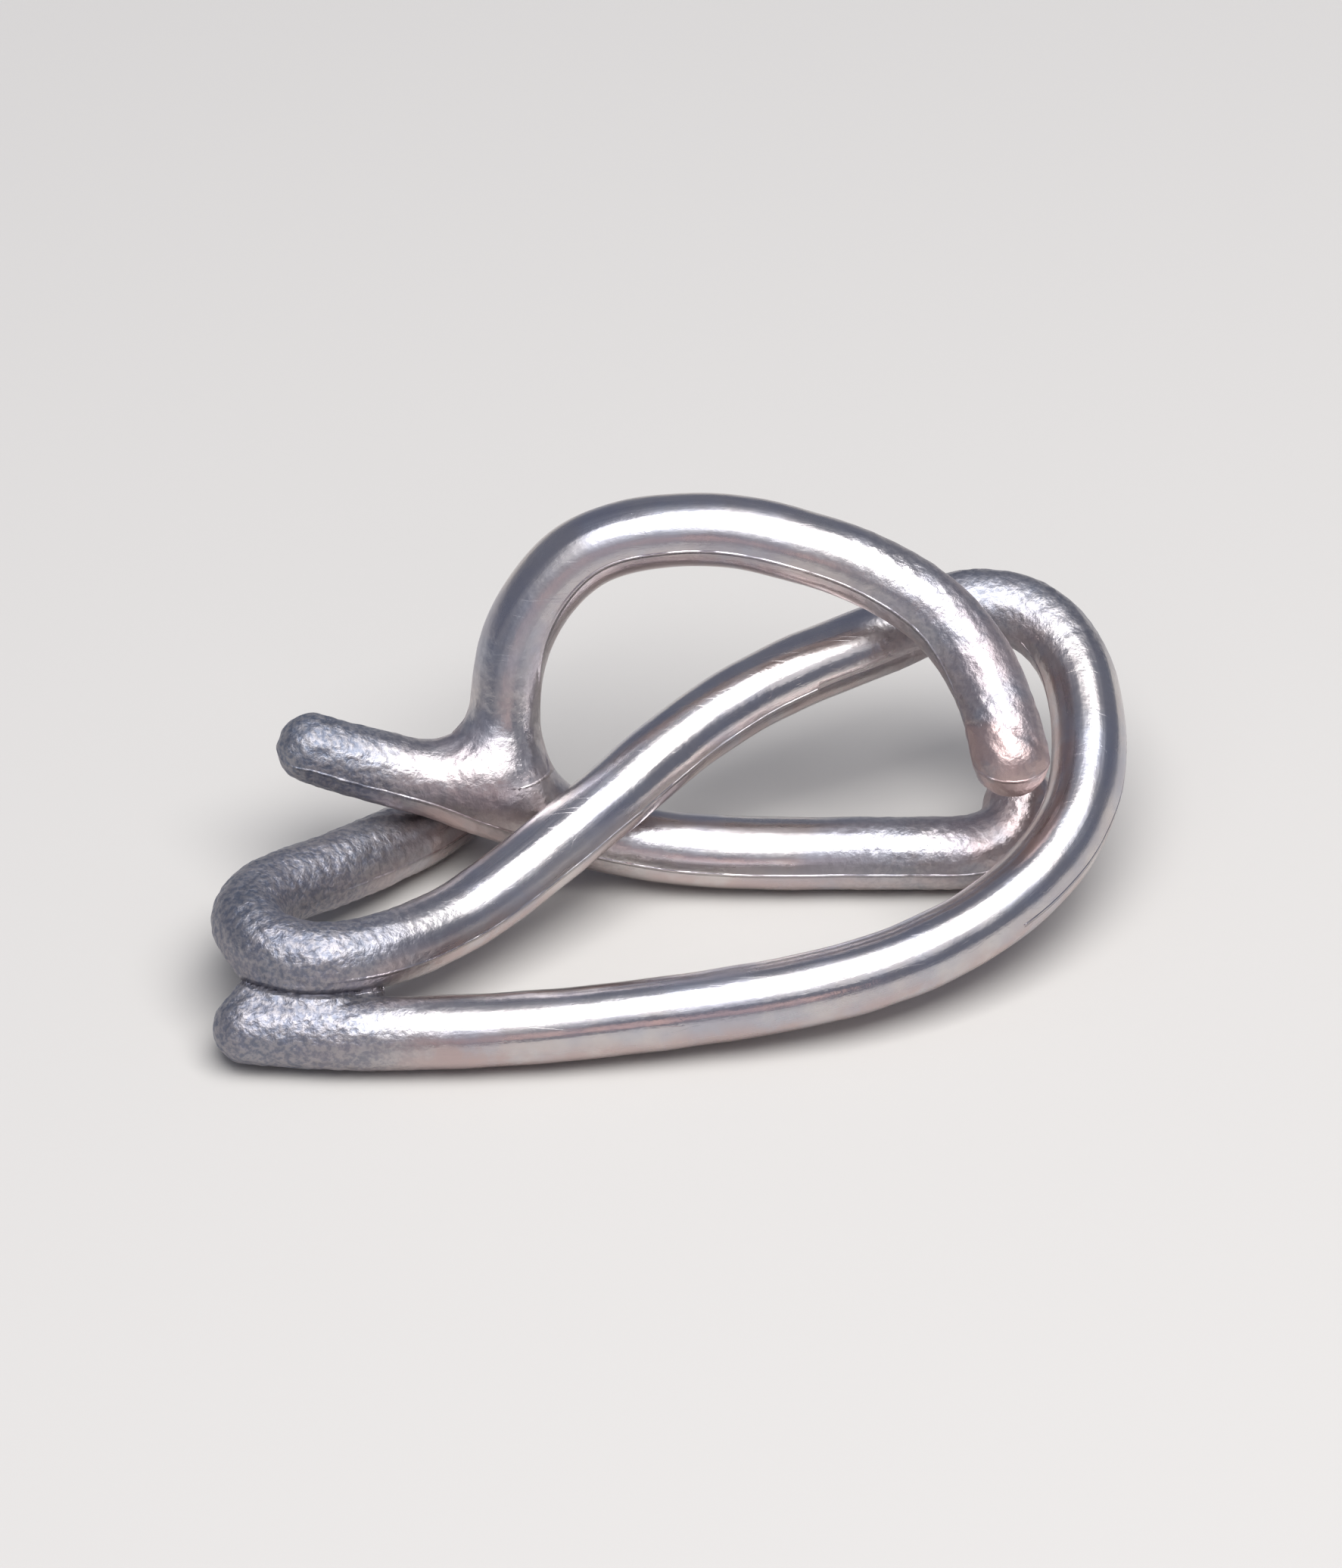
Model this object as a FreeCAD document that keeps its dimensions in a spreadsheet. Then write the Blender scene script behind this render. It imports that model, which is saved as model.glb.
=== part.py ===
"""Metal ring disentanglement puzzle: two loose cast pieces that hang in one another.

Frame: millimetres, +Z up, +X from the tails towards the closed side of the eye, the bench at Z = 0 and
the origin under the middle of the puzzle. Both pieces lie as they come to rest on a flat bench.
"""
import FreeCAD, Part
import math
import os

os.makedirs("parts", exist_ok=True)
doc = FreeCAD.newDocument("disentanglement_puzzle")
Vector = FreeCAD.Vector

# ---------------------------------------------------------------- driving dimensions (mm, degrees)
SIZES = (
    ("rod_diameter", 5.0),      # cast rod of both pieces
    ("eye_tilt", 20.0),         # the eye rests on the bar, so its flat lies at this slope
    ("eye_line_y", -15.6),      # where the low rail of the eye lies on the bench
    ("ring_tilt", 66.0),        # the ring leans back on the far rail of the eye at this slope
    ("ring_line_y", 3.1),       # where the bar of the ring lies on the bench
    ("root_collar", 5.8),       # thickened root where the arch grows out of the tail
    ("seam_diameter", 3.2),     # the cast seam that closes the eye between its two rails
    ("seam_length", 5.0),
)

# The centre line of each rod, as points on the piece's own flat: along the bench, up the slope, and off
# the flat. Only the tail of the eye and the two gap ends of the ring leave their flats.
OUTLINES = {
    # low rail, round the blunt end of the teardrop, back down the diagonal, round the hook, tail
    "eye": (
        (-28.3, 0.4, 0.0), (-22.9, 0.0, 0.0), (-16.7, 0.0, 0.0), (-9.5, 0.4, 0.0), (-1.2, 1.4, 0.0),
        (6.5, 2.7, 0.0), (12.7, 4.3, 0.0), (18.3, 6.8, 0.0), (23.0, 10.2, 0.0), (26.5, 14.5, 0.0),
        (28.2, 18.8, 0.0), (28.5, 24.5, 0.0), (27.2, 29.7, 0.0), (24.1, 32.9, 0.0), (19.9, 33.3, 0.0),
        (15.3, 31.3, 0.0), (9.1, 28.4, 0.0), (2.9, 24.5, 0.0), (-3.3, 18.8, 0.0), (-9.0, 13.3, 0.0),
        (-14.1, 9.0, 0.1), (-19.5, 5.4, 1.7), (-24.3, 4.2, 2.8), (-27.2, 5.4, 2.5), (-28.4, 8.2, 1.1),
        (-27.1, 11.2, -0.8), (-23.9, 13.8, -2.8), (-19.8, 17.2, -5.4), (-16.4, 20.3, -7.3),
        (-14.6, 22.1, -8.0),
    ),
    # tail, bar, and the bar's end turned up behind the gap
    "bar": (
        (-24.3, 7.9, 1.6), (-19.8, 6.5, 1.3), (-14.6, 4.9, 0.8), (-9.5, 2.9, 0.3), (-5.4, 1.5, 0.0),
        (-0.7, 0.5, 0.0), (6.0, 0.0, 0.0), (12.2, 0.0, 0.0), (18.3, 0.0, 0.0), (21.4, 0.2, -0.4),
        (23.4, 1.2, -1.4), (24.0, 2.8, -2.6),
    ),
    # arch from its root in the tail to the free tip in front of the gap
    "arch": (
        (-12.3, 3.9, 0.5), (-11.4, 6.6, 0.2), (-11.2, 10.3, 0.0), (-10.7, 14.1, 0.0), (-8.9, 18.1, 0.0),
        (-5.5, 21.4, 0.0), (-1.0, 22.7, 0.0), (3.9, 22.8, 0.1), (9.1, 21.8, 0.5), (14.2, 20.0, 1.2),
        (18.4, 17.4, 2.3), (21.1, 14.1, 3.8), (22.4, 11.2, 5.6), (23.1, 8.7, 7.0),
    ),
}
# The near end of the seam between the two rails of the eye, on the same flat
SEAM_START = (-26.6, 2.2, 1.4)
AXIS_NAMES = ("along", "slope", "off")
STRAIGHT_ANGLE = 1e-4            # radians below which a stretch counts as straight

sheet = doc.addObject("Spreadsheet::Sheet", "Sizes")
for row, (name, value) in enumerate(SIZES, start=1):
    sheet.set(f"A{row}", name)
    sheet.set(f"B{row}", str(value))
    sheet.setAlias(f"B{row}", name)

outline_sheet = doc.addObject("Spreadsheet::Sheet", "Outlines")
next_row = 1
for outline, points in OUTLINES.items():
    for number, point in enumerate(points):
        outline_sheet.set(f"A{next_row}", f"{outline} point {number}")
        for column, axis_name, value in zip("BCD", AXIS_NAMES, point):
            outline_sheet.set(f"{column}{next_row}", str(value))
            outline_sheet.setAlias(f"{column}{next_row}", f"{outline}_{axis_name}_{number}")
        next_row += 1
doc.recompute()


# ---------------------------------------------------------------- centre lines
def place_on_flat(flat_point, tilt, line_y):
    """A point of a piece's flat in the part's frame: the flat is turned up by tilt about its bench line."""
    along, slope, off = flat_point
    cos_tilt = math.cos(math.radians(tilt))
    sin_tilt = math.sin(math.radians(tilt))
    return Vector(
        along,
        line_y + slope * cos_tilt - off * sin_tilt,
        sheet.rod_diameter / 2 + slope * sin_tilt + off * cos_tilt,
    )


def outline_points(outline, tilt, line_y):
    """The outline's centre line points in the part's frame, read from the sheet."""
    return [
        place_on_flat(
            [outline_sheet.get(f"{outline}_{axis_name}_{number}") for axis_name in AXIS_NAMES], tilt, line_y
        )
        for number in range(len(OUTLINES[outline]))
    ]


def tangents(points):
    """Direction at each point: that of the circle through it and its two neighbours."""
    directions = []
    for before, here, after in zip(points, points[1:], points[2:]):
        step_in = here - before
        step_out = after - here
        blend = step_in * (step_out.Length / step_in.Length) + step_out * (step_in.Length / step_out.Length)
        directions.append(blend.normalize())
    first_chord = (points[1] - points[0]).normalize()
    last_chord = (points[-1] - points[-2]).normalize()
    start = first_chord * (2 * first_chord.dot(directions[0])) - directions[0]
    end = last_chord * (2 * last_chord.dot(directions[-1])) - directions[-1]
    return [start] + directions + [end]


def unit(vector):
    """The vector at length 1, leaving the original as it is."""
    return Vector(vector).normalize()


def tangent_arc(start, direction, end):
    """The arc that leaves start in the given direction and reaches end, or a line if it is straight."""
    chord = end - start
    forward = unit(chord)
    sideways = direction - forward * direction.dot(forward)
    half_angle = math.atan2(sideways.Length, direction.dot(forward))
    if half_angle < STRAIGHT_ANGLE:
        return Part.LineSegment(start, end).toShape()
    sagitta = chord.Length / 2 * math.tan(half_angle / 2)
    middle = start + chord * 0.5 + unit(sideways) * sagitta
    return Part.Arc(start, middle, end).toShape()


def centre_line(points):
    """A smooth wire through the points: two arcs from each point to the next, tangent everywhere."""
    directions = tangents(points)
    edges = []
    for start, end, leave, arrive in zip(points, points[1:], directions, directions[1:]):
        gap = end - start
        forward = gap.dot(leave + arrive)
        turn = 2 * (1 - leave.dot(arrive))
        if turn < STRAIGHT_ANGLE:
            reach = gap.dot(gap) / (2 * forward)
        else:
            reach = (math.sqrt(forward ** 2 + turn * gap.dot(gap)) - forward) / turn
        joint = (start + end + (leave - arrive) * reach) * 0.5
        edges.append(tangent_arc(start, leave, joint))
        edges.append(tangent_arc(end, arrive * -1, joint))
    return Part.Wire(Part.__sortEdges__(edges))


# ---------------------------------------------------------------- cast rods
def add_rod(name, points):
    """A round rod of the sheet's diameter swept along the smooth line through the points."""
    spine = doc.addObject("Part::Feature", f"{name}_centre_line")
    spine.Shape = centre_line(points)
    section = doc.addObject("Part::Circle", f"{name}_section")
    section.setExpression("Radius", "Sizes.rod_diameter / 2")
    start_direction = tangents(points)[0]
    section.Placement = FreeCAD.Placement(points[0], FreeCAD.Rotation(Vector(0, 0, 1), start_direction))
    rod = doc.addObject("Part::Sweep", f"{name}_rod")
    rod.Sections = [section]
    rod.Spine = (spine, [f"Edge{number}" for number in range(1, len(spine.Shape.Edges) + 1)])
    rod.Solid = True
    rod.Frenet = False
    return rod


def add_ball(name, centre, diameter="Sizes.rod_diameter"):
    """A ball whose diameter is bound to the sheet: a rounded rod end or a thick place in the casting."""
    ball = doc.addObject("Part::Sphere", name)
    ball.setExpression("Radius", f"{diameter} / 2")
    ball.Placement = FreeCAD.Placement(centre, FreeCAD.Rotation())
    return ball


def add_casting(name, label, solids):
    """One cast piece: its rods and ends fused into a single solid."""
    casting = doc.addObject("Part::MultiFuse", name)
    casting.Shapes = solids
    casting.Refine = False
    casting.Label = label
    casting.Placement = FreeCAD.Placement()
    return casting


def add_seam(name, start, direction):
    """The short round web that joins two rails lying side by side."""
    seam = doc.addObject("Part::Cylinder", name)
    seam.setExpression("Radius", "Sizes.seam_diameter / 2")
    seam.setExpression("Height", "Sizes.seam_length")
    seam.Placement = FreeCAD.Placement(start, FreeCAD.Rotation(Vector(0, 0, 1), direction))
    return seam


eye_points = outline_points("eye", sheet.eye_tilt, sheet.eye_line_y)
seam_start = place_on_flat(SEAM_START, sheet.eye_tilt, sheet.eye_line_y)
eye = add_casting("EyeLoop", "eye_loop", [
    add_seam("eye_seam", seam_start, Vector(1, 0, 0)),
    add_rod("eye", eye_points),
    add_ball("eye_near_end", eye_points[0]),
    add_ball("eye_tail_end", eye_points[-1]),
])

bar_points = outline_points("bar", sheet.ring_tilt, sheet.ring_line_y)
arch_points = outline_points("arch", sheet.ring_tilt, sheet.ring_line_y)
ring = add_casting("HookRing", "hook_ring", [
    add_rod("bar", bar_points),
    add_rod("arch", arch_points),
    add_ball("ring_tail_end", bar_points[0]),
    add_ball("ring_bar_end", bar_points[-1]),
    add_ball("ring_tip", arch_points[-1]),
    add_ball("ring_root", arch_points[0], "Sizes.root_collar"),
])

# ---------------------------------------------------------------- check and export
doc.recompute()
for item in doc.Objects:
    if "Invalid" in item.State or "Error" in item.State:
        raise RuntimeError(f"{item.Label} failed to recompute: {item.State}")
for piece in (eye, ring):
    shape = piece.Shape
    if shape.isNull() or not shape.isValid() or len(shape.Solids) != 1:
        raise RuntimeError(f"{piece.Label} is not one valid solid")
    shape.exportStep(f"parts/{piece.Label}.step")
    print(f"{piece.Label}: {shape.Volume:.1f} mm3, box {shape.BoundBox}")
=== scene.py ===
"""Two loose castings of a metal ring disentanglement puzzle, finished for rendering.

The frame gives the two castings as plain rods. Each is replaced here by one closed skin with the soft
blends, rounded ends, casting line and hand polish of the real pieces. All shapes are worked out in
millimetres, in the frame's own axes, and put into Blender in metres.
"""
import logging
import math
from dataclasses import dataclass, field
from enum import Enum

import bpy
import numpy as np
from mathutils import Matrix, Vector


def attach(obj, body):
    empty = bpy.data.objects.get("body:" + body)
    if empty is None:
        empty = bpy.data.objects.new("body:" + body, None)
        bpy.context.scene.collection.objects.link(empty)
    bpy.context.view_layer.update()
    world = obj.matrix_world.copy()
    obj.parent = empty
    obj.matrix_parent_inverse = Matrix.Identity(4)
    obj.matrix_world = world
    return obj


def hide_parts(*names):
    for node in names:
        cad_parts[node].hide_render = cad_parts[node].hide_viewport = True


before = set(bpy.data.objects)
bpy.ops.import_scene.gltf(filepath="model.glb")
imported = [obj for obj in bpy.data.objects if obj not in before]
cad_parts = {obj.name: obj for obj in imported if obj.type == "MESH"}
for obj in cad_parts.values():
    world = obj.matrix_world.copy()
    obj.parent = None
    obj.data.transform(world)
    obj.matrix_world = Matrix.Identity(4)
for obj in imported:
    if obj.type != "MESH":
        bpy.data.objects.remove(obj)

log = logging.getLogger("puzzle")

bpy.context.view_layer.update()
METRES_PER_MM = 0.001
IMAGE_WIDTH = 1773
IMAGE_HEIGHT = 2072
SAMPLE_STEP = 0.4       # mm between the places that a nearest-point search starts from
BLOCK_ROWS = 20000      # places that are searched at a time
NEWTON_ROUNDS = 3
NEWTON_FLOOR = 0.2      # keeps the search's steps short where the line bends round a place
DRAFT_STEP = 0.8        # mm between the rings of a rod's first, plain tube
CAP_LEANS = (math.pi / 2 - 0.05, 0.25)      # angles of the first and last ring of its round ends, radians
COARSE_CELLS = 1.7      # size of a skin's first faces, over that of its final ones
TINY = 1e-9             # stands in for zero in a division

Outline = tuple[tuple[float, float, float], ...]
Tube = tuple[np.ndarray, np.ndarray]            # points in mm, and quads as four indices a row
Sockets = dict[int | str, bpy.types.NodeSocket]


# ------------------------------------------------------------------------------------------ small tools
def linear_colour(srgb_hex: str) -> tuple[float, float, float, float]:
    """Turn an sRGB hex colour into the linear colour that a shader socket takes.

    Args:
        srgb_hex: Six hex digits, with or without a leading #.

    Returns:
        Linear red, green, blue and an alpha of 1.
    """
    digits = srgb_hex.lstrip("#")
    channels = [int(digits[i : i + 2], 16) / 255 for i in (0, 2, 4)]
    linear = [c / 12.92 if c <= 0.04045 else ((c + 0.055) / 1.055) ** 2.4 for c in channels]
    return (linear[0], linear[1], linear[2], 1.0)


def per_metre(feature_mm: float) -> float:
    """Texture scale, in features per metre, of a pattern whose features are feature_mm apart."""
    return 1 / (feature_mm * METRES_PER_MM)


def add_node(
    tree: bpy.types.NodeTree,
    kind: str,
    output: int | str = 0,
    settings: dict[int | str, object] | None = None,
    links: Sockets | None = None,
) -> bpy.types.NodeSocket:
    """Add one node with its settings and its incoming links.

    Args:
        tree: The node tree to add to.
        kind: Blender's name for the node type.
        output: Name or number of the output that is wanted.
        settings: Attribute names, or input names and numbers, with their values.
        links: Input names or numbers with the output socket each one takes.

    Returns:
        The wanted output socket of the new node.
    """
    node = tree.nodes.new(kind)
    for name, value in (settings or {}).items():
        if isinstance(name, str) and hasattr(node, name):
            setattr(node, name, value)
        else:
            node.inputs[name].default_value = value
    for name, source in (links or {}).items():
        tree.links.new(source, node.inputs[name])
    return node.outputs[output]


def unit_rows(rows: np.ndarray) -> np.ndarray:
    """Each row divided by its own length."""
    return rows / np.maximum(np.linalg.norm(rows, axis=-1, keepdims=True), TINY)


def falling(value: np.ndarray, middle: float, softness: float) -> np.ndarray:
    """1 well below the middle and 0 well above it.

    It is one over (1 plus e to the (value less middle) over softness).

    Args:
        value: What is looked at.
        middle: Where the result is a half.
        softness: How slowly it falls there.

    Returns:
        The result for each value.
    """
    steepest = 50
    return 1 / (1 + np.exp(np.clip((value - middle) / softness, -steepest, steepest)))


def bell(value: np.ndarray, reach: float, power: int = 2) -> np.ndarray:
    """1 where the value is 0, fading to both sides: e to the minus (value over reach) to the power."""
    return np.exp(-((value / reach) ** power))


# ------------------------------------------------------------------------------------------ shapes
@dataclass(frozen=True)
class Flat:
    """The sloping plane a casting was laid out on, before it came to rest on the bench.

    Attributes:
        tilt: Slope of the flat above the bench, in degrees.
        line_y: Where the flat meets rod height above the bench, in mm.
        height: Height of that line above the bench, in mm: half the rod.
    """

    tilt: float
    line_y: float
    height: float

    @property
    def normal(self) -> np.ndarray:
        """Unit vector off the flat, on its upper side."""
        slope = math.radians(self.tilt)
        return np.array([0.0, -math.sin(slope), math.cos(slope)])

    @property
    def uphill(self) -> np.ndarray:
        """Unit vector up the slope."""
        slope = math.radians(self.tilt)
        return np.array([0.0, math.cos(slope), math.sin(slope)])

    def place(self, outline: Outline) -> np.ndarray:
        """Points in the part's frame, from points given as along, up the slope and off the flat.

        Each point is the bench line, plus along times X, plus slope times uphill, plus off times normal.

        Args:
            outline: The points, in mm.

        Returns:
            The points in the frame, in mm, one a row.
        """
        along, slope, off = np.array(outline, float).T
        start = np.array([0.0, self.line_y, self.height])
        on_line = start + along[:, None] * [1, 0, 0]
        return on_line + slope[:, None] * self.uphill + off[:, None] * self.normal


class Spline:
    """The smooth line through a rod's points: cubic pieces whose bend carries on through every point."""

    def __init__(self, points: np.ndarray) -> None:
        """Solve for the second derivative at each knot, with none at the two ends.

        Args:
            points: Points that the line goes through.
        """
        self.points = points
        chords = np.linalg.norm(np.diff(points, axis=0), axis=1)
        self.knots = np.concatenate([[0.0], np.cumsum(chords)])
        gaps = np.diff(self.knots)
        slopes = np.diff(points, axis=0) / gaps[:, None]
        system = np.eye(len(points))
        wanted = np.zeros_like(points)
        inner = np.arange(1, len(points) - 1)
        system[inner, inner - 1] = gaps[:-1]
        system[inner, inner] = 2 * (gaps[:-1] + gaps[1:])
        system[inner, inner + 1] = gaps[1:]
        wanted[inner] = 6 * np.diff(slopes, axis=0)
        self.bends = np.linalg.solve(system, wanted)

    @property
    def length(self) -> float:
        """The last knot, close to the line's length in mm."""
        return float(self.knots[-1])

    def at(self, where: np.ndarray) -> tuple[np.ndarray, np.ndarray, np.ndarray]:
        """Point, first derivative and second derivative at each place along the line.

        On a piece between two knots, the point is the straight blend of its ends plus, for each end, its
        bend times (blend cubed minus blend) times the gap squared over six.

        Args:
            where: Positions along the line, in mm.

        Returns:
            The point and the two derivatives, each one row a position.
        """
        before_knot = np.searchsorted(self.knots, where, side="right") - 1
        piece = np.clip(before_knot, 0, len(self.knots) - 2)
        gap = (self.knots[piece + 1] - self.knots[piece])[:, None]
        after = ((where - self.knots[piece])[:, None]) / gap
        before = 1 - after
        low, high = self.points[piece], self.points[piece + 1]
        bend_low, bend_high = self.bends[piece], self.bends[piece + 1]
        bow = (before**3 - before) * bend_low + (after**3 - after) * bend_high
        point = before * low + after * high + bow * gap**2 / 6
        turn = (3 * after**2 - 1) * bend_high - (3 * before**2 - 1) * bend_low
        first = (high - low) / gap + turn * gap / 6
        second = before * bend_low + after * bend_high
        return point, first, second

    def nearest(self, places: np.ndarray, low: float, high: float) -> tuple[np.ndarray, np.ndarray]:
        """Where a stretch of the line comes nearest to each place.

        The nearest sample is improved by Newton steps: the step is how far the place lies ahead along the
        line, over speed squared less the bend towards the place.

        Args:
            places: Points in mm, one a row.
            low: Where the stretch starts, in mm along the line.
            high: Where it ends.

        Returns:
            The positions along the line, and the points on it.
        """
        where = np.linspace(low, high, max(2, int((high - low) / SAMPLE_STEP)))
        samples = self.at(where)[0]
        samples_squared = np.einsum("ij,ij->i", samples, samples)
        blocks = np.array_split(places, max(1, len(places) // BLOCK_ROWS))
        closest = [np.argmin(samples_squared - 2 * block @ samples.T, axis=1) for block in blocks]
        where = where[np.concatenate(closest)]
        for _ in range(NEWTON_ROUNDS):
            point, first, second = self.at(where)
            away = places - point
            ahead = np.einsum("ij,ij->i", away, first)
            speed = np.einsum("ij,ij->i", first, first) - np.einsum("ij,ij->i", away, second)
            where = np.clip(where + ahead / np.maximum(speed, NEWTON_FLOOR), low, high)
        return where, self.at(where)[0]


@dataclass(frozen=True)
class RodReading:
    """How some places lie about one rod, in mm.

    Attributes:
        distance: How far outside the skin.
        out: Direction straight out.
        along: Position along the rod.
        away: Vector from the rod's line.
    """

    distance: np.ndarray
    out: np.ndarray
    along: np.ndarray
    away: np.ndarray


@dataclass(frozen=True)
class Reading:
    """How some places lie about both rods of a casting.

    Attributes:
        places: The places, in mm.
        first: How they lie about the first rod.
        second: How they lie about the second rod.
    """

    places: np.ndarray
    first: RodReading
    second: RodReading

    @property
    def on_second(self) -> np.ndarray:
        """Whether each place is nearer the second rod."""
        return self.second.distance < self.first.distance

    @property
    def out(self) -> np.ndarray:
        """Direction straight out of the nearer rod."""
        return np.where(self.on_second[:, None], self.second.out, self.first.out)

    @property
    def away(self) -> np.ndarray:
        """Vector from the nearer rod's line."""
        return np.where(self.on_second[:, None], self.second.away, self.first.away)


@dataclass
class Rod:
    """A round cast rod with rounded ends.

    Attributes:
        line: Its centre line.
        low: Where on the line it starts, in mm.
        high: Where on the line it ends.
        radius: Its radius in mm.
        swells: Where it is thicker or thinner: position along the line, reach and extra radius, mm.
    """

    line: Spline
    low: float
    high: float
    radius: float
    swells: tuple[tuple[float, float, float], ...] = ()

    def radius_at(self, where: np.ndarray) -> np.ndarray:
        """Radius plus, for each swell, its extra times e to the minus (distance over reach) squared.

        Args:
            where: Positions along the rod, in mm.

        Returns:
            The radius at each, in mm.
        """
        radius = np.full(where.shape, self.radius)
        for middle, reach, extra in self.swells:
            radius = radius + extra * bell(where - middle, reach)
        return radius

    def read(self, places: np.ndarray) -> RodReading:
        """How each place lies about the rod: its distance out is that from the line less the radius.

        Args:
            places: Points in mm.

        Returns:
            The reading.
        """
        where, point = self.line.nearest(places, self.low, self.high)
        away = places - point
        reach = np.linalg.norm(away, axis=1)
        out = away / np.maximum(reach, TINY)[:, None]
        return RodReading(reach - self.radius_at(where), out, where, away)

    def grain(self, reading: RodReading, normal: np.ndarray) -> np.ndarray:
        """Coordinates that follow the rod, in mm.

        Args:
            reading: How the places lie about the rod.
            normal: A direction that the rod never runs along.

        Returns:
            Distance along the rod, sideways and along the normal, one row a place.
        """
        sideways = unit_rows(np.cross(unit_rows(self.line.at(reading.along)[1]), normal))
        across = np.einsum("ij,ij->i", reading.away, sideways)
        return np.stack([reading.along, across, reading.away @ normal], axis=1)

    def draft(self, normal: np.ndarray, around: int = 28, cap_rings: int = 6) -> Tube:
        """A plain tube with round ends, to start the skin from.

        A ring at each place is its centre plus radius times (cosine sideways plus sine upwards). At the
        ends, rings step out by the sine and shrink by the cosine of an angle that runs almost to a right
        angle. The pinhole left there is smaller than a face of the first skin, which closes over it.

        Args:
            normal: A direction that the rod never runs along.
            around: Points in a ring.
            cap_rings: Rings in each round end.

        Returns:
            Points, and quads as rows of four indices.
        """
        where = np.linspace(self.low, self.high, int((self.high - self.low) / DRAFT_STEP) + 2)
        centre, tangent, _ = self.line.at(where)
        tangent = unit_rows(tangent)
        lean = np.linspace(*CAP_LEANS, cap_rings)
        start = centre[0] - tangent[0] * self.radius * np.sin(lean)[:, None]
        end = centre[-1] + tangent[-1] * self.radius * np.sin(lean[::-1])[:, None]
        centres = np.vstack([start, centre, end])
        tangents = np.vstack(
            [np.repeat(tangent[:1], cap_rings, 0), tangent, np.repeat(tangent[-1:], cap_rings, 0)]
        )
        shrink = np.concatenate([np.cos(lean), np.ones(len(where)), np.cos(lean[::-1])]) * self.radius
        sideways = unit_rows(np.cross(tangents, normal))
        upwards = np.cross(sideways, tangents)
        turn = np.linspace(0, 2 * np.pi, around, endpoint=False)[None, :, None]
        ring = np.cos(turn) * sideways[:, None] + np.sin(turn) * upwards[:, None]
        points = (centres[:, None] + shrink[:, None, None] * ring).reshape(-1, 3)
        row = np.arange(len(centres) - 1)[:, None] * around
        here, beside = row + np.arange(around), row + (np.arange(around) + 1) % around
        quads = np.stack([here, beside, beside + around, here + around], axis=-1).reshape(-1, 4)
        return points, quads


def smooth_union(
    first: np.ndarray, second: np.ndarray, blend: np.ndarray
) -> tuple[np.ndarray, np.ndarray]:
    """Join two distance fields with a fillet.

    The result is the smaller distance less a quarter of the blend width times the square of how alike
    the two are, which runs from 0 where they differ by the blend width to 1 where they are equal.

    Args:
        first: Distance outside the first rod.
        second: Distance outside the second rod.
        blend: Width of the fillet at each place, in mm.

    Returns:
        The joined distance, and the share of the second rod in its direction.
    """
    width = np.maximum(blend, TINY)
    alike = np.clip(1 - np.abs(first - second) / width, 0, 1)
    joined = np.minimum(first, second) - width / 4 * alike**2
    share = np.where(first < second, alike / 2, 1 - alike / 2)
    return joined, share


class Polish(Enum):
    """How far the hand polishing of a casting went."""

    BRIGHT = "bright"
    WORN = "worn"


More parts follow.
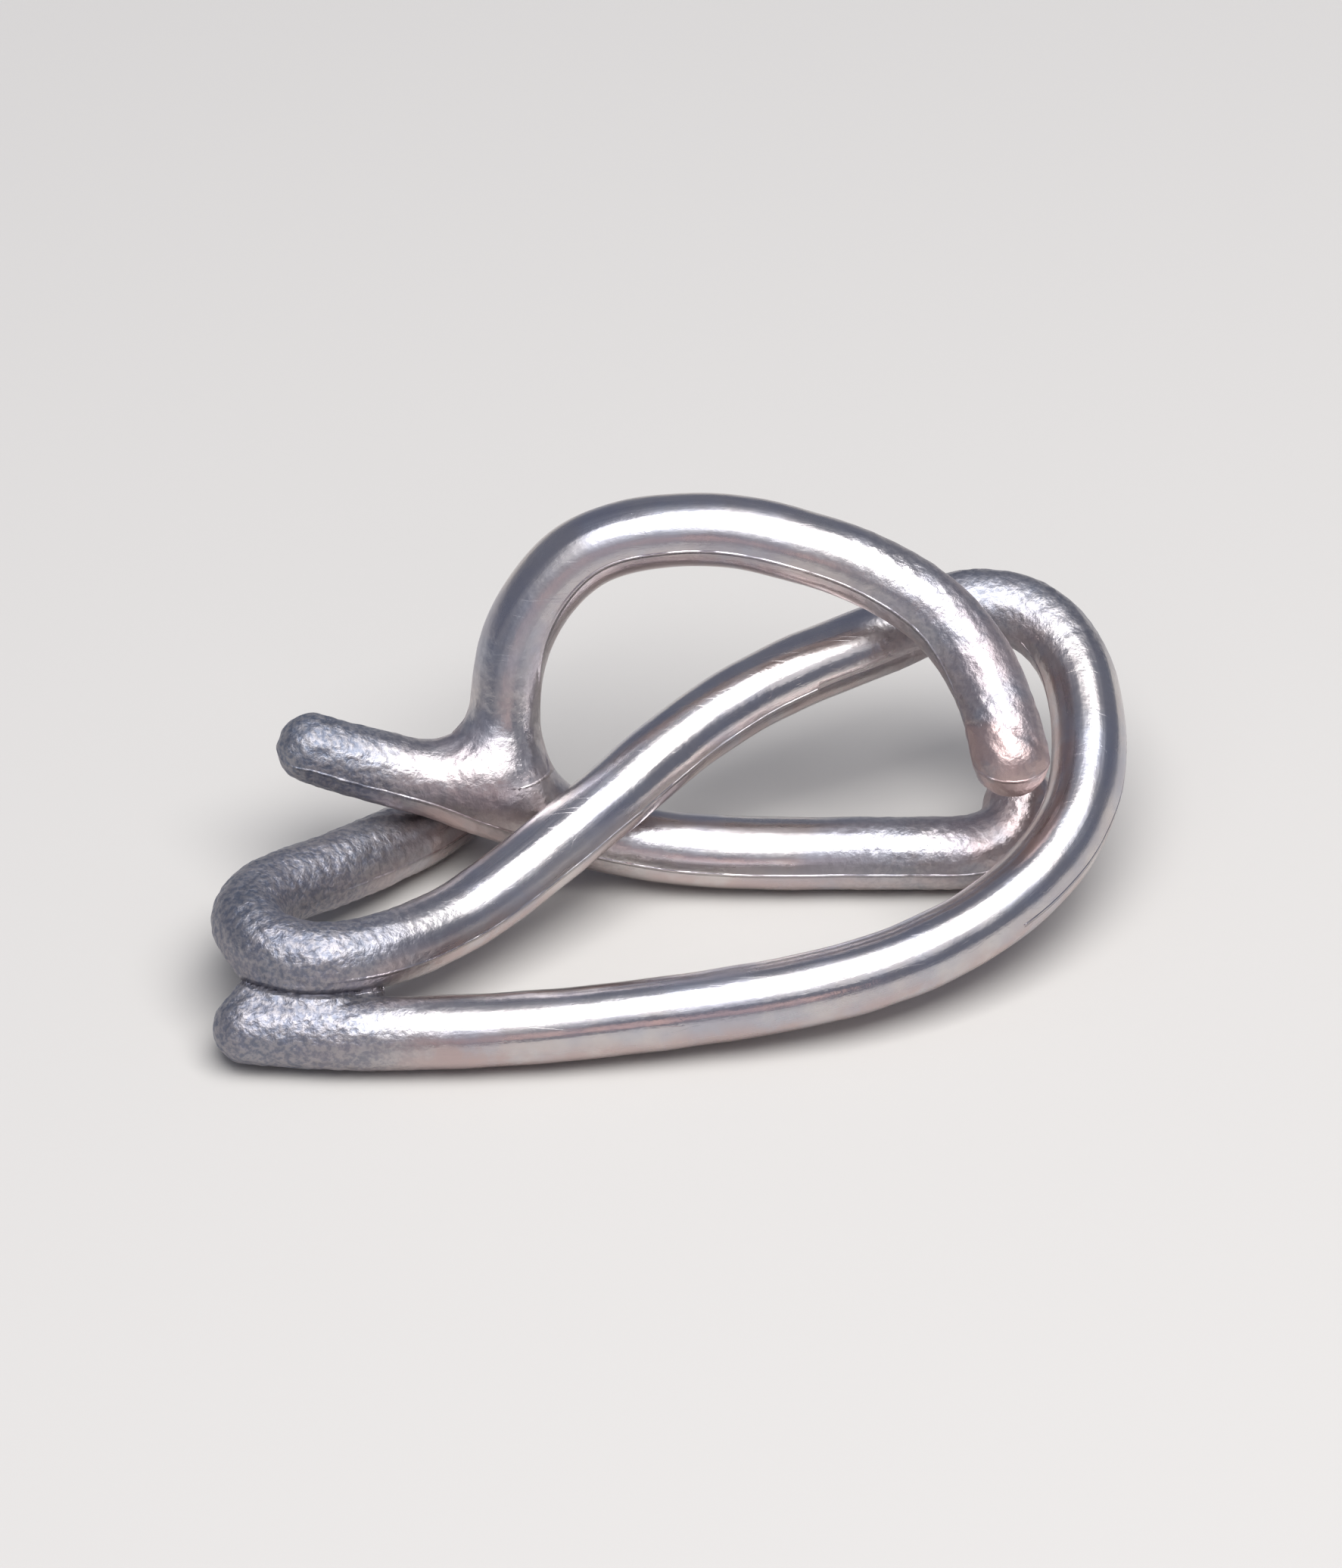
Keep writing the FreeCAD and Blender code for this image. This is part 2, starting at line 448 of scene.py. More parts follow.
@dataclass(frozen=True)
class CastMetal:
    """Nickel-plated zinc, cast and then polished by hand on a soft wheel.

    The wheel leaves a fine grain along the rods, which the eye sees as soft streaks in the highlights.
    Where it didn't reach, the skin keeps the mould's crinkle and a dull blue-grey colour. The colour is
    warmer in patches, and the undersides carry painted warm shade and reflection.

    Attributes:
        name: What the material is called.
        polish: How far the wheel took it.
        clean: Colour of the polished plating.
        cool: Its colour in the cooler patches.
        warm: Its colour in warm patches, and of the painted warm shade and reflection on the undersides.
        dull: Colour of the crinkled skin.
        crest: Colour of its crests.
        crease_line_and_shade: Colour of the creases: painted shade in the eye's seam crease, a dark line
            at the ring's polished tip.
        peel_mm: Spacing of the crinkle.
        brush_mm: Spacing of the polishing grain.
        stain_mm: Size of the cooler and warmer patches.
        parting_mm: Half the width of the line where the mould's halves met.
    """

    name: str
    polish: Polish
    clean: str = "#D6D2D0"
    cool: str = "#B4B9C6"
    # Warm tint, and the colour of the painted warm shade and reflection on the undersides
    warm: str = "#BFAAA7"
    dull: str = "#757C8B"
    crest: str = "#A5A3A7"
    # Crease colour: painted shade in the eye's seam crease, and a dark line at the ring's polished tip
    crease_line_and_shade: str = "#5F5E69"
    peel_mm: float = 0.38
    brush_mm: float = 0.22
    stain_mm: float = 6.0
    parting_mm: float = 0.17

    def material(self) -> bpy.types.Material:
        """Build the node material: patches of colour, roughness and the finest heights of the skin.

        Returns:
            The material.
        """
        material = bpy.data.materials.new(self.name)
        material.use_nodes = True
        tree = material.node_tree
        shader = tree.nodes["Principled BSDF"]
        shader.inputs["Metallic"].default_value = 1.0
        patterns = self.patterns(tree)
        tree.links.new(self.colour(tree, patterns), shader.inputs["Base Color"])
        tree.links.new(self.roughness(tree, patterns), shader.inputs["Roughness"])
        tree.links.new(self.relief(tree, patterns), shader.inputs["Normal"])
        return material

    def patterns(self, tree: bpy.types.NodeTree) -> Sockets:
        """Everything that the finish draws on.

        Args:
            tree: The material's node tree.

        Returns:
            A socket for each name: the skin's attributes, noises and ramps of them.
        """
        found = {
            name: add_node(tree, "ShaderNodeAttribute", "Fac", {"attribute_name": name})
            for name in ("crinkle", "crease", "warm_tint_and_shade", "filed", "off_parting")
        }
        place = add_node(tree, "ShaderNodeTexCoord", "Object")
        grain = add_node(tree, "ShaderNodeAttribute", "Vector", {"attribute_name": "grain"})
        # The wheel's grain is drawn out along the rods, and stray scratches run on a slant
        along_rods = add_node(tree, "ShaderNodeMapping", 0, {"Scale": (0.06, 1.0, 1.0)}, {"Vector": grain})
        slanted = add_node(
            tree, "ShaderNodeMapping", 0, {"Rotation": (0.4, 0.9, 0.7), "Scale": (0.07, 1.0, 1.0)},
            {"Vector": place},
        )
        # Where each noise is read, the size of its features in mm and its detail
        noises = {
            "stain": (place, self.stain_mm, 3.0),
            "thin_spots": (place, self.stain_mm * 0.45, 3.0),
            "peel": (place, self.peel_mm, 3.0),
            "brush": (along_rods, self.brush_mm, 3.0),
            "smear": (along_rods, self.brush_mm * 5, 3.0),
            "hair": (slanted, 1.1, 1.0),
            "handled": (place, 3.5, 3.0),
            "filing": (place, 2.2, 3.0),
        }
        for name, (where, size_mm, detail) in noises.items():
            settings = {"Scale": per_metre(size_mm), "Detail": detail, "Roughness": 0.55}
            found[name] = add_node(tree, "ShaderNodeTexNoise", "Fac", settings, {"Vector": where})
        # A scratch is where the slanted noise crosses its middle level
        level = add_node(tree, "ShaderNodeMath", 0, {"operation": "SUBTRACT", 1: 0.5}, {0: found["hair"]})
        for name, source in (("off_level", level), ("off_line", found["off_parting"])):
            found[name] = add_node(tree, "ShaderNodeMath", 0, {"operation": "ABSOLUTE"}, {0: source})
        # What each ramp reads, from which low to which high, and what it gives at the two
        smooth = 0.12 if self.polish is Polish.BRIGHT else 0.14
        ramps = {
            "cool_patches": ("stain", 0.40, 0.66, 0.0, 0.8),
            "blurred_patches": ("stain", 0.40, 0.66, 0.0, 1.0),
            "thin_patches": ("thin_spots", 0.30, 0.60, 0.35, 1.0),
            "hollows": ("peel", 0.36, 0.64, 1.0, 0.15),
            "streaks": ("smear", 0.30, 0.70, smooth, smooth + 0.14),
            "scratch": ("off_level", 0.0, 0.006, 1.0, 0.0),
            "handled_patches": ("handled", 0.44, 0.58, 0.0, 1.0),
            "bead": ("off_line", 0.0, self.parting_mm, 1.0, 0.0),
            "uneven_filing": ("filing", 0.32, 0.55, 0.6, 1.0),
        }
        for name, (source, low, high, at_low, at_high) in ramps.items():
            settings = {
                "interpolation_type": "SMOOTHSTEP",
                "From Min": low, "From Max": high, "To Min": at_low, "To Max": at_high,
            }
            found[name] = add_node(tree, "ShaderNodeMapRange", 0, settings, {"Value": found[source]})
        # One less a share of a pattern: how polished the skin is, and how much of the parting line is left
        for name, source, share in (("polished", "crinkle", 0.85), ("unfiled", "filed", 1.0)):
            settings = {"operation": "MULTIPLY_ADD", 1: -share, 2: 1.0}
            found[name] = add_node(tree, "ShaderNodeMath", 0, settings, {0: found[source]})
        settings = {"operation": "MULTIPLY_ADD", 1: 0.95, 2: 0.05}
        found["depth"] = add_node(tree, "ShaderNodeMath", 0, settings, {0: found["crinkle"]})
        products = {
            "dull_hollows": ("crinkle", "hollows"),
            "warm_patches": ("warm_tint_and_shade", "thin_patches"),
            "warm_polished": ("warm_patches", "polished"),
            "crumpled": ("peel", "depth"),
            "scratches": ("scratch", "handled_patches"),
            "filed_bead": ("bead", "uneven_filing"),
            "parting_line": ("filed_bead", "unfiled"),
        }
        for name, (first, second) in products.items():
            links = {0: found[first], 1: found[second]}
            found[name] = add_node(tree, "ShaderNodeMath", 0, {"operation": "MULTIPLY"}, links)
        return found

    def colour(self, tree: bpy.types.NodeTree, patterns: Sockets) -> bpy.types.NodeSocket:
        """Cool patches, the dull skin with its lighter crests, warm tint and painted warm shade over both,
        then the creases.

        Args:
            tree: The material's node tree.
            patterns: What each layer's amount is read from.

        Returns:
            The colour socket.
        """
        # The warm layer lays painted warm shade and reflection on the undersides; the last layer, painted
        # shade in the eye's seam crease
        layers = (
            (self.cool, "cool_patches"), (self.crest, "crinkle"), (self.dull, "dull_hollows"),
            (self.warm, "warm_polished"), (self.crease_line_and_shade, "crease"),
        )
        under: Sockets = {}
        for over, amount in layers:
            settings = {"data_type": "RGBA", 6: linear_colour(self.clean), 7: linear_colour(over)}
            colour = add_node(tree, "ShaderNodeMix", 2, settings, {0: patterns[amount]} | under)
            under = {6: colour}
        return colour

    def roughness(self, tree: bpy.types.NodeTree, patterns: Sockets) -> bpy.types.NodeSocket:
        """Low on the polished skin, streaked by the wheel, high on the crinkle and in the creases.

        Args:
            tree: The material's node tree.
            patterns: What the roughness is read from.

        Returns:
            The roughness socket.
        """
        rough = patterns["streaks"]
        extras = (("blurred_patches", 0.06), ("brush", 0.05), ("crinkle", 0.34), ("crease", 0.25))
        for name, extra in extras:
            settings = {"operation": "MULTIPLY_ADD", 1: extra}
            rough = add_node(tree, "ShaderNodeMath", 0, settings, {0: patterns[name], 2: rough})
        return rough

    def relief(self, tree: bpy.types.NodeTree, patterns: Sockets) -> bpy.types.NodeSocket:
        """Heights too fine for the skin's faces, one laid over the other.

        Args:
            tree: The material's node tree.
            patterns: What each height is read from.

        Returns:
            The normal socket.
        """
        # What each height is read from, its strength, its size in metres and whether it is sunk in
        heights = (
            ("crumpled", 1.0, 0.00011, False),
            ("brush", 0.5, 0.000012, False),
            ("crease", 1.0, 0.00025, True),
            ("scratches", 0.25, 0.000015, True),
            ("parting_line", 1.0, 0.0001, False),
        )
        under: Sockets = {}
        for name, strength, size, sunk in heights:
            settings = {"Strength": strength, "Distance": size, "invert": sunk}
            normal = add_node(tree, "ShaderNodeBump", 0, settings, {"Height": patterns[name]} | under)
            under = {"Normal": normal}
        return normal


@dataclass
class Casting:
    """One cast piece: rods joined by fillets into a single closed skin.

    Attributes:
        node: The CAD node it stands for.
        body: The body it rides on.
        slot: The record's material slot; not used.
        finish: Its metal.
        flat: The flat it was laid out on.
        cell: Size of the skin's faces, in mm.
        rod_radius: Half the rod, in mm.
        parting_tilt: Slope of the surface where the mould's halves met, in degrees.
        line_height: How far the parting line stands proud, in mm.
        line_width: Half its width at the foot, in mm.
        wave_height: How far the hand-finished rods are out of true, in mm.
        crinkle_height: Height of each wave of the crinkle, in mm.
        crease_depth: How deep a crease is cut, in mm.
        warmth: How warm the colour is everywhere, and how much painted warm shade is added on undersides,
            0 to 1.
        rods: Its two rods.
    """

    node: str
    body: str
    slot: str
    finish: CastMetal
    flat: Flat
    cell: float
    rod_radius: float = 2.5
    parting_tilt: float = -2.0
    line_height: float = 0.045
    line_width: float = 0.32
    wave_height: float = 0.045
    crinkle_height: float = 0.016
    crease_depth: float = 0.12
    warmth: tuple[float, float] = (0.2, 0.7)
    rods: list[Rod] = field(init=False)

    def fillet_width(self, reading: Reading) -> np.ndarray:
        """Width of the fillet between the two rods at each place, in mm."""
        raise NotImplementedError

    def crease(self, reading: Reading) -> np.ndarray:
        """How deep each place sits in a crease, from 0 to 1; the metal's colour is darker there too."""
        raise NotImplementedError

    def crinkle(self, reading: Reading) -> np.ndarray:
        """How much of the mould's crinkle the polishing left at each place, from 0 to 1."""
        raise NotImplementedError

    def warm_tint_and_shade(self, reading: Reading) -> np.ndarray:
        """How much warm colour each place takes, as warm tint and painted warm shade, from 0 to 1, and
        more where it is dull too.
        """
        raise NotImplementedError

    def filed(self, reading: Reading) -> np.ndarray:
        """How far the parting line was filed away, from 0 to 1: nowhere unless a piece says so."""
        return np.zeros(len(reading.places))

    def underside(self, reading: Reading) -> np.ndarray:
        """1 where the skin faces down, falling to 0 as it turns up."""
        level, softness = -0.05, 0.12
        return falling(reading.out[:, 2], level, softness)

    def drafts(self) -> list[Tube]:
        """Tubes that together fill the casting, each as points and quads."""
        return [rod.draft(self.flat.normal) for rod in self.rods]

    def read(self, places: np.ndarray) -> Reading:
        """How each place lies about both rods."""
        return Reading(places, self.rods[0].read(places), self.rods[1].read(places))

    def waves(self, places: np.ndarray) -> np.ndarray:
        """Slow unevenness of a hand-finished casting, from -1 to 1.

        The mean of four sine waves, 4 to 6.5 mm long, that cross the piece in different directions.

        Args:
            places: Points in mm.

        Returns:
            A value for each place.
        """
        directions = np.array([[0.9, 0.3, 0.2], [-0.4, 1.1, 0.5], [0.3, -0.6, 1.2], [1.3, 0.8, -0.6]])
        phases = np.array([0.3, 1.9, 4.1, 2.6])
        return np.sin(places @ directions.T + phases).mean(axis=1)

    def crumple(self, places: np.ndarray) -> np.ndarray:
        """The mould's crinkle: the sum of four sine waves about 1 mm long, each bent by a slower one.

        Args:
            places: Points in mm.

        Returns:
            A value for each place, from -4 to 4.
        """
        directions = np.array([[5.3, 2.1, -1.2], [-2.4, 4.9, 2.0], [1.6, -2.9, 5.1], [3.9, 3.7, 3.1]])
        amount, slower = 1.4, 0.45
        bending = amount * np.sin(places @ directions[::-1].T * slower)
        return np.sin(places @ directions.T + bending).sum(axis=1)

    def off_parting(self, reading: Reading) -> np.ndarray:
        """Distance from the parting surface, in mm: the vector from the rod's line along its normal."""
        slope = math.radians(self.parting_tilt)
        return reading.away @ np.array([0.0, -math.sin(slope), math.cos(slope)])

    def relief(self, reading: Reading) -> np.ndarray:
        """Height of the skin over the plain rods, in mm.

        Waves, plus crumple where the crinkle is left, plus a bell across the parting line, less the
        crease.

        Args:
            reading: How the places lie about the rods.

        Returns:
            The height at each place.
        """
        bead = bell(self.off_parting(reading), self.line_width) * (1 - self.filed(reading))
        return (
            self.wave_height * self.waves(reading.places)
            + self.crinkle_height * self.crinkle(reading) * self.crumple(reading.places)
            + self.line_height * bead
            - self.crease_depth * self.crease(reading)
        )

    def surface(self, places: np.ndarray) -> tuple[np.ndarray, np.ndarray]:
        """The skin's field: the two rods' distances, joined by the fillet, less the relief.

        Args:
            places: Points in mm.

        Returns:
            Distance outside the skin, and the direction out.
        """
        reading = self.read(places)
        first, second = reading.first, reading.second
        distance, share = smooth_union(first.distance, second.distance, self.fillet_width(reading))
        out = unit_rows((1 - share)[:, None] * first.out + share[:, None] * second.out)
        return distance - self.relief(reading), out

    def settle(self, places: np.ndarray, rounds: int = 5, longest: float = 0.6) -> np.ndarray:
        """Move points straight out or in until they lie on the skin.

        Args:
            places: Points in mm.
            rounds: How many moves each makes.
            longest: The longest move, in mm.

        Returns:
            The points on the skin.
        """
        for _ in range(rounds):
            distance, out = self.surface(places)
            places = places - np.clip(distance, -longest, longest)[:, None] * out
        return places

    def normals(self, places: np.ndarray, step: float = 0.06) -> np.ndarray:
        """Direction straight out of the skin: how its distance changes over a small step each way.

        Args:
            places: Points on the skin, in mm.
            step: The step, in mm.

        Returns:
            Unit vectors, one a row.
        """
        sides = [
            self.surface(places + axis * step)[0] - self.surface(places - axis * step)[0]
            for axis in np.eye(3)
        ]
        return unit_rows(np.stack(sides, axis=1))

    def attributes(self, reading: Reading) -> dict[str, np.ndarray]:
        """What the metal's patterns read at each place.

        Args:
            reading: How the skin's points lie about the rods.

        Returns:
            Values for each attribute name. Grain is the place on its own rod in metres, off_parting is in
            mm, and the others run from 0 up.
        """
        grain = np.where(
            reading.on_second[:, None],
            self.rods[1].grain(reading.second, self.flat.normal),
            self.rods[0].grain(reading.first, self.flat.normal),
        )
        return {
            "grain": grain * METRES_PER_MM,
            "off_parting": self.off_parting(reading),
            "filed": self.filed(reading),
            "crease": self.crease(reading),
            "crinkle": self.crinkle(reading),
            "warm_tint_and_shade": self.warm_tint_and_shade(reading),
        }

    def mesh(self) -> bpy.types.Mesh:
        """The skin's mesh in metres, with its normals and attributes.

        The tubes are joined, settled on the skin, and then both again with faces of the final size.

        Returns:
            The mesh.
        """
        points, quads = remeshed(*joined(self.drafts()), self.cell * COARSE_CELLS)
        points, quads = remeshed(self.settle(points), quads, self.cell)
        points = self.settle(points)
        mesh = bpy.data.meshes.new(self.node + "_skin")
        mesh.from_pydata((points * METRES_PER_MM).tolist(), [], quads.tolist())
        mesh.shade_smooth()
        mesh.normals_split_custom_set_from_vertices(self.normals(points).tolist())
        for name, values in self.attributes(self.read(points)).items():
            kind, key = ("FLOAT", "value") if values.ndim == 1 else ("FLOAT_VECTOR", "vector")
            attribute = mesh.attributes.new(name, kind, "POINT")
            attribute.data.foreach_set(key, values.astype(np.float32).ravel())
        return mesh

    def build(self) -> bpy.types.Object:
        """Make the skin, dress it in its metal and hang it on its body.

        Returns:
            The piece.
        """
        mesh = self.mesh()
        mesh.materials.append(self.finish.material())
        piece = bpy.data.objects.new(mesh.name, mesh)
        bpy.context.scene.collection.objects.link(piece)
        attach(piece, self.body)
        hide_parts(self.node)
        return piece


def joined(meshes: list[Tube]) -> Tube:
    """Several meshes as one, their quads renumbered.

    Args:
        meshes: Points and quads of each.

    Returns:
        The points and quads of all.
    """
    starts = np.cumsum([0] + [len(points) for points, _ in meshes[:-1]])
    return (
        np.vstack([points for points, _ in meshes]),
        np.vstack([quads + start for (_, quads), start in zip(meshes, starts)]),
    )


def remeshed(points: np.ndarray, quads: np.ndarray, cell: float) -> Tube:
    """The outer skin of meshes that may run through one another, as one closed mesh of quads.

    Args:
        points: Points in mm.
        quads: Four indices a row.
        cell: Size of the new faces, in mm.

    Returns:
        The new points and quads.
    """
    draft = bpy.data.meshes.new("draft")
    draft.from_pydata(points.tolist(), [], quads.tolist())
    holder = bpy.data.objects.new("draft", draft)
    bpy.context.scene.collection.objects.link(holder)
    voxels = holder.modifiers.new("voxels", "REMESH")
    voxels.mode = "VOXEL"
    voxels.voxel_size = cell
    graph = bpy.context.evaluated_depsgraph_get()
    skin = bpy.data.meshes.new_from_object(holder.evaluated_get(graph))
    new_points = np.empty(len(skin.vertices) * 3)
    skin.vertices.foreach_get("co", new_points)
    corners = np.empty(len(skin.loops), dtype=int)
    skin.loops.foreach_get("vertex_index", corners)
    bpy.data.objects.remove(holder)
    bpy.data.meshes.remove(draft)
    bpy.data.meshes.remove(skin)
    return new_points.reshape(-1, 3), corners.reshape(-1, 4)


@dataclass
class EyeLoop(Casting):
    """The teardrop eye: a low rail, the round end, a diagonal rail back, a tight hook and a free tail.

    The two rails lie side by side at the hook and are cast together there, which closes the eye.

    Attributes:
        outline: The rod's centre line, as points on the flat.
        split_point: The outline point where the two halves of the rod are told apart.
        seam: The centre line of the web between the rails, as points on the flat.
        seam_radius: Half the web's thickness, in mm.
        seam_end: How far along the rails are cast together, in mm.
        seam_width: Width of the blend between them, in mm.
        crinkled_end: Left of here the polishing wheel didn't reach well, in mm.
        low_rail_end: Up to here the parting line was filed off the low rail, in mm.
        stub_slim: How much slimmer the blunt end at the left is, in mm.
        tail_slim: How much slimmer the tail's end is, in mm.
        end_reach: How far from the ends the rod is slimmer, in mm.
    """

    outline: Outline = (
        (-28.3, 0.4, 0.0), (-22.9, 0.0, 0.0), (-16.7, 0.0, 0.0), (-9.5, 0.4, 0.0), (-1.2, 1.4, 0.0),
        (6.5, 2.7, 0.0), (12.7, 4.3, 0.0), (18.3, 6.8, 0.0), (23.0, 10.2, 0.0), (26.5, 14.5, 0.0),
        (28.2, 18.8, 0.0), (28.5, 24.5, 0.0), (27.2, 29.7, 0.0), (24.1, 32.9, 0.0), (19.9, 33.3, 0.0),
        (15.3, 31.3, 0.0), (9.1, 28.4, 0.0), (2.9, 24.5, 0.0), (-3.3, 18.8, 0.0), (-9.0, 13.3, 0.0),
        (-14.1, 9.0, 0.1), (-19.5, 5.4, 1.7), (-24.3, 4.2, 2.8), (-27.2, 5.4, 2.5), (-28.4, 8.2, 1.1),
        (-27.1, 11.2, -0.8), (-23.9, 13.8, -2.8), (-19.8, 17.2, -5.4), (-16.4, 20.3, -7.3),
        (-14.6, 22.1, -8.0),
    )
    split_point: int = 16
    seam: Outline = ((-28.0, 2.4, 1.3), (-24.5, 2.1, 1.4), (-22.6, 2.4, 1.3))
    seam_radius: float = 1.5
    seam_end: float = -21.9
    seam_width: float = 2.5
    crinkled_end: float = -18.5
    low_rail_end: float = 24.0
    stub_slim: float = 0.08
    tail_slim: float = 0.12
    end_reach: float = 3.0

    def __post_init__(self) -> None:
        """Run one smooth line through the outline and take the rod in two halves."""
        line = Spline(self.flat.place(self.outline))
        split = float(line.knots[self.split_point])
        stub = (0.0, self.end_reach, -self.stub_slim)
        tail = (line.length, self.end_reach, -self.tail_slim)
        self.rods = [
            Rod(line, 0.0, split, self.rod_radius, (stub,)),
            Rod(line, split, line.length, self.rod_radius, (tail,)),
        ]

    def drafts(self) -> list[Tube]:
        """The rod's halves, and the web along the seam.

        Returns:
            Points and quads of each tube.
        """
        seam = Spline(self.flat.place(self.seam))
        web = Rod(seam, 0.0, seam.length, self.seam_radius)
        return [*super().drafts(), web.draft(self.flat.normal)]

    def at_seam(self, reading: Reading) -> np.ndarray:
        """1 along the cast seam between the rails, falling to 0 past its end."""
        softness = 0.6
        return falling(reading.places[:, 0], self.seam_end, softness)

    def fillet_width(self, reading: Reading) -> np.ndarray:
        """The rails are blended only along their seam."""
        return self.seam_width * self.at_seam(reading)

    def filed(self, reading: Reading) -> np.ndarray:
        """The line is gone along the seam, all but gone on the low rail, and left on the diagonal.

        Args:
            reading: How the places lie about the rods.

        Returns:
            How far the line is gone at each place, from 0 to 1.
        """
        low_rail_share = 0.9
        on_low_rail = ~reading.on_second & (reading.places[:, 0] < self.low_rail_end)
        return np.where(on_low_rail, low_rail_share, self.at_seam(reading))

    def crease(self, reading: Reading) -> np.ndarray:
        """A crease lies along the seam, just under the upper rail, with painted shade along it.

        Args:
            reading: How the places lie about the rods.

        Returns:
            Its depth at each place, from 0 to 1.
        """
        # The dark crease colour laid here is painted shade between the rails
        depth, off_middle, width, near = 0.95, 0.3, 0.28, 1.2
        first, second = reading.first.distance, reading.second.distance
        under_upper_rail = bell(second - first + off_middle, width)
        both_near = falling(np.maximum(first, second), near, softness=0.15)
        at_hook = falling(reading.places[:, 0], self.crinkled_end, softness=0.5)
        return depth * under_upper_rail * both_near * at_hook

    def crinkle(self, reading: Reading) -> np.ndarray:
        """Most at the hook, little on the long rails, some on top of the round end.

        Args:
            reading: How the places lie about the rods.

        Returns:
            How much is left at each place, from 0 to 1.
        """
        everywhere, hook_share, round_end_share = 0.06, 0.94, 0.55
        middle, half_size = np.array([23.0, 15.5]), np.array([9.0, 5.0])
        along = reading.places[:, 0]
        hook = falling(along, self.crinkled_end, softness=1.8)
        off_middle = (reading.places[:, :2] - middle) / half_size
        round_end = np.exp(-(off_middle**4).sum(axis=1))
        return np.clip(everywhere + hook_share * hook + round_end_share * round_end, 0, 1)

    def warm_tint_and_shade(self, reading: Reading) -> np.ndarray:
        """Warm tint along the seam, and painted warm shade inside the round end, underneath and low on the
        rails' left.

        Args:
            reading: How the places lie about the rods.

        Returns:
            How warm each place is, from 0 to 1.
        """
        everywhere, underside_share = self.warmth
        inside_share, low_left_share, seam_share = 0.9, 0.8, 0.5
        along = reading.places[:, 0]
        # The inside, underside and low-left terms are painted warm shade and reflection; the rest is warm
        # tint
        faces_in = falling(reading.out[:, 0], -0.45, softness=0.12)
        inside = faces_in * falling(-along, -18.0, softness=1.5)
        faces_front = falling(reading.out[:, 2], 0.45, softness=0.1)
        low_left = bell(along + 17.0, reach=6.0, power=4) * faces_front
        warm = (
            everywhere
            + underside_share * self.underside(reading)
            + inside_share * inside
            + low_left_share * low_left
            + seam_share * self.at_seam(reading)
        )
        return np.clip(warm, 0, 1)


